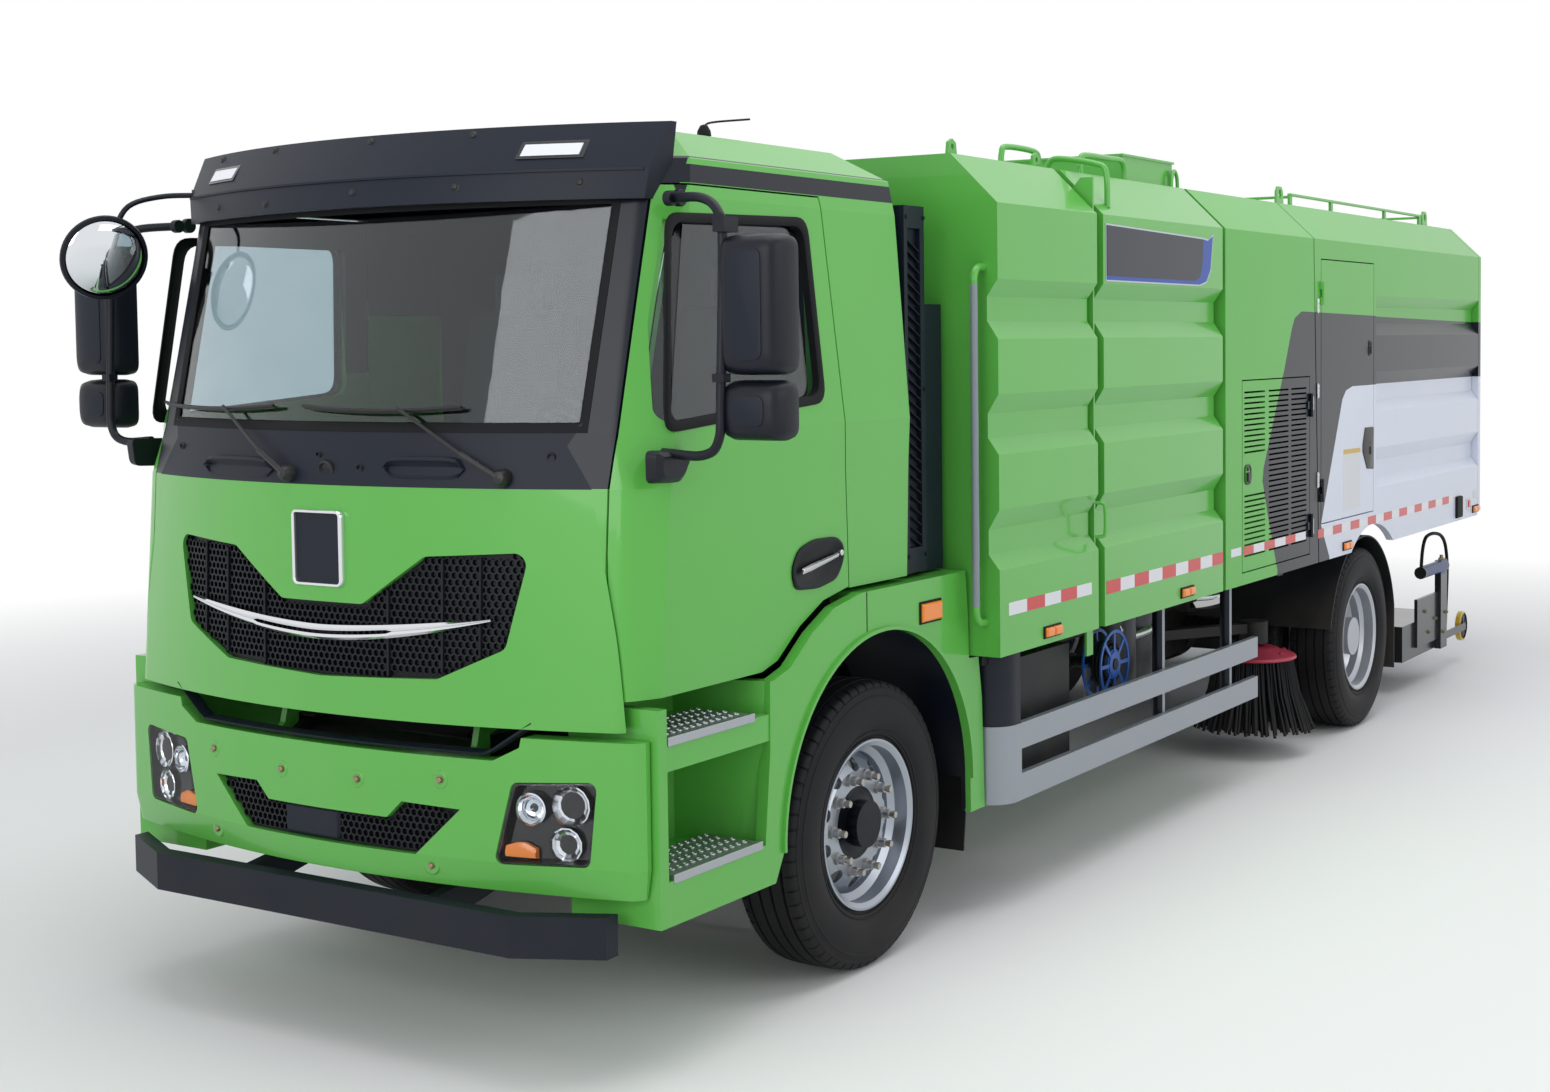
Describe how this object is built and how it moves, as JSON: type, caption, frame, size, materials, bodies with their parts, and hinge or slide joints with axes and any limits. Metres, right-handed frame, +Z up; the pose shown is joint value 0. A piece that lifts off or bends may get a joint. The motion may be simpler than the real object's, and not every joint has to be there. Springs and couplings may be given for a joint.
{
  "type": "street sweeper truck",
  "caption": "Two-axle cab-over street sweeper truck with corrugated body, tipping hopper, side brushes and a rear suction nozzle.",
  "frame": {"origin": "on the ground under the middle of the truck's box", "axes": "+X forward, +Y to the left, +Z up"},
  "size_m": [9.188, 3.07, 3.012],
  "materials": {
    "frame_black": "satin",
    "axle_black": "satin",
    "motor_grey": "satin",
    "tyre_black": "matt",
    "wheel_silver": "semi-gloss",
    "body_green": "gloss",
    "body_silver": "gloss",
    "dark_plastic": "matt",
    "grille_plastic": "matt",
    "clear_glass": "clear",
    "lamp_glass": "clear",
    "interior_grey": "matt",
    "seat_fabric": "woven",
    "mirror_face": "polished",
    "guard_aluminium": "anodised",
    "reel_blue": "gloss",
    "brush_red": "satin",
    "caster_yellow": "satin"
  },
  "bodies": {
    "chassis": {"ladder_frame": "frame_black", "front_axle": "axle_black", "leaf_springs": "frame_black", "rear_axle": "axle_black", "front_bumper": "body_green", "headlamps": "lamp_glass", "bumper_grille": "grille_plastic", "underrun_bar": "frame_black", "fenders": "body_green", "battery_rack": "motor_grey", "front_tank": "body_green", "middle_tank": "body_green", "fan_compartment": "body_green", "suction_fan": "motor_grey", "body_fittings": "body_green", "side_guards": "guard_aluminium", "guard_fairings": "dark_plastic", "pump_boxes": "frame_black", "filter_canisters": "frame_black", "rear_mudguards": "frame_black"},
    "knuckle_left": {"knuckle_left": "axle_black"},
    "knuckle_right": {"knuckle_right": "axle_black"},
    "tie_rod": {"tie_rod": "axle_black"},
    "front_wheel_left": {"tyre_front_left": "tyre_black", "rim_front_left": "wheel_silver"},
    "front_wheel_right": {"tyre_front_right": "tyre_black", "rim_front_right": "wheel_silver"},
    "rear_wheels_left": {"tyres_rear_left": "tyre_black", "rims_rear_left": "wheel_silver"},
    "rear_wheels_right": {"tyres_rear_right": "tyre_black", "rims_rear_right": "wheel_silver"},
    "cab": {"cab_shell": "body_green", "cowl_panel": "dark_plastic", "nose_panel": "body_green", "grille": "grille_plastic", "windscreen": "clear_glass", "sun_visor": "dark_plastic", "dashboard": "interior_grey", "seats": "seat_fabric", "round_mirror": "mirror_face"},
    "cab_door_left": {"cab_door_left": "body_green", "door_glass_left": "clear_glass", "door_mirror_left": "dark_plastic"},
    "cab_door_right": {"cab_door_right": "body_green", "door_glass_right": "clear_glass", "door_mirror_right": "dark_plastic"},
    "steering_wheel": {"steering_wheel": "dark_plastic"},
    "vent_door_left": {"vent_door_left": "body_green"},
    "vent_door_right": {"vent_door_right": "body_green"},
    "hopper": {"hopper": "body_silver"},
    "side_door": {"side_door": "body_silver"},
    "tailgate": {"tailgate": "body_silver"},
    "hose_reel": {"hose_reel": "reel_blue"},
    "brush_arm_left": {"brush_arm_left": "frame_black"},
    "brush_arm_right": {"brush_arm_right": "frame_black"},
    "side_brush_left": {"side_brush_left": "brush_red"},
    "side_brush_right": {"side_brush_right": "brush_red"},
    "rear_nozzle": {"rear_nozzle": "frame_black"},
    "caster_left": {"caster_left": "caster_yellow"},
    "caster_right": {"caster_right": "caster_yellow"}
  },
  "joints": [
    {"name": "steer_left", "type": "hinge", "parent": "chassis", "child": "knuckle_left", "pos_m": [3.064, 0.835, 0.506], "axis": [0, 0, 1], "range_deg": [-33, 33]},
    {"name": "steer_right", "type": "hinge", "parent": "chassis", "child": "knuckle_right", "pos_m": [3.064, -0.835, 0.506], "axis": [0, 0, 1], "range_deg": [-33, 33]},
    {"name": "tie_rod_pivot", "type": "hinge", "parent": "knuckle_left", "child": "tie_rod", "pos_m": [2.904, 0.835, 0.388], "axis": [0, 0, 1], "range_deg": [-33, 33]},
    {"name": "front_wheel_left_spin", "type": "hinge", "parent": "knuckle_left", "child": "front_wheel_left", "pos_m": [3.064, 0.965, 0.506], "axis": [0, 1, 0], "continuous": true},
    {"name": "front_wheel_right_spin", "type": "hinge", "parent": "knuckle_right", "child": "front_wheel_right", "pos_m": [3.064, -0.965, 0.506], "axis": [0, 1, 0], "continuous": true},
    {"name": "rear_wheels_left_spin", "type": "hinge", "parent": "chassis", "child": "rear_wheels_left", "pos_m": [-2.036, 0.93, 0.506], "axis": [0, 1, 0], "continuous": true},
    {"name": "rear_wheels_right_spin", "type": "hinge", "parent": "chassis", "child": "rear_wheels_right", "pos_m": [-2.036, -0.93, 0.506], "axis": [0, 1, 0], "continuous": true},
    {"name": "cab_tilt", "type": "hinge", "parent": "chassis", "child": "cab", "pos_m": [4.424, 0, 0.8], "axis": [0, 1, 0], "range_deg": [0, 45]},
    {"name": "door_left_swing", "type": "hinge", "parent": "cab", "child": "cab_door_left", "pos_m": [4.375, 1.066, 1.5], "axis": [0, 0, -1], "range_deg": [0, 70]},
    {"name": "door_right_swing", "type": "hinge", "parent": "cab", "child": "cab_door_right", "pos_m": [4.375, -1.066, 1.5], "axis": [0, 0, 1], "range_deg": [0, 70]},
    {"name": "steering_wheel_turn", "type": "hinge", "parent": "cab", "child": "steering_wheel", "pos_m": [3.804, 0.52, 1.91], "axis": [-0.4512, 0, 0.8924], "range_deg": [-594, 594]},
    {"name": "vent_door_left_swing", "type": "hinge", "parent": "chassis", "child": "vent_door_left", "pos_m": [-0.981, 1.285, 1.5], "axis": [0, 0, 1], "range_deg": [0, 85]},
    {"name": "vent_door_right_swing", "type": "hinge", "parent": "chassis", "child": "vent_door_right", "pos_m": [-0.981, -1.285, 1.5], "axis": [0, 0, -1], "range_deg": [0, 85]},
    {"name": "hopper_tip", "type": "hinge", "parent": "chassis", "child": "hopper", "pos_m": [-3.836, 0, 1.03], "axis": [0, -1, 0], "range_deg": [0, 45]},
    {"name": "side_door_swing", "type": "hinge", "parent": "hopper", "child": "side_door", "pos_m": [-1.151, 1.285, 1.9], "axis": [0, 0, -1], "range_deg": [0, 85]},
    {"name": "tailgate_swing", "type": "hinge", "parent": "hopper", "child": "tailgate", "pos_m": [-4.259, 0, 2.904], "axis": [0, 1, 0], "range_deg": [0, 90]},
    {"name": "hose_reel_spin", "type": "hinge", "parent": "chassis", "child": "hose_reel", "pos_m": [1.054, 1.06, 0.785], "axis": [0, 1, 0], "continuous": true},
    {"name": "brush_swing_left", "type": "hinge", "parent": "chassis", "child": "brush_arm_left", "pos_m": [-0.496, 0.56, 0.68], "axis": [0, 0, -1], "range_deg": [0, 28]},
    {"name": "brush_swing_right", "type": "hinge", "parent": "chassis", "child": "brush_arm_right", "pos_m": [-0.496, -0.56, 0.68], "axis": [0, 0, 1], "range_deg": [0, 28]},
    {"name": "brush_spin_left", "type": "hinge", "parent": "brush_arm_left", "child": "side_brush_left", "pos_m": [-1.076, 0.935, 0.545], "axis": [0, 0, 1], "continuous": true},
    {"name": "brush_spin_right", "type": "hinge", "parent": "brush_arm_right", "child": "side_brush_right", "pos_m": [-1.076, -0.935, 0.545], "axis": [0, 0, 1], "continuous": true},
    {"name": "nozzle_lift", "type": "slide", "parent": "chassis", "child": "rear_nozzle", "axis": [0, 0, 1], "range_m": [-0.14, 0]},
    {"name": "caster_left_spin", "type": "hinge", "parent": "rear_nozzle", "child": "caster_left", "pos_m": [-4.496, 1.108, 0.25], "axis": [0, 1, 0], "continuous": true},
    {"name": "caster_right_spin", "type": "hinge", "parent": "rear_nozzle", "child": "caster_right", "pos_m": [-4.496, -1.108, 0.25], "axis": [0, 1, 0], "continuous": true}
  ],
  "couplings": [
    {"joint": "steer_right", "follows": "steer_left", "ratio": 1},
    {"joint": "tie_rod_pivot", "follows": "steer_left", "ratio": -1},
    {"joint": "steering_wheel_turn", "follows": "steer_left", "ratio": 18}
  ]
}
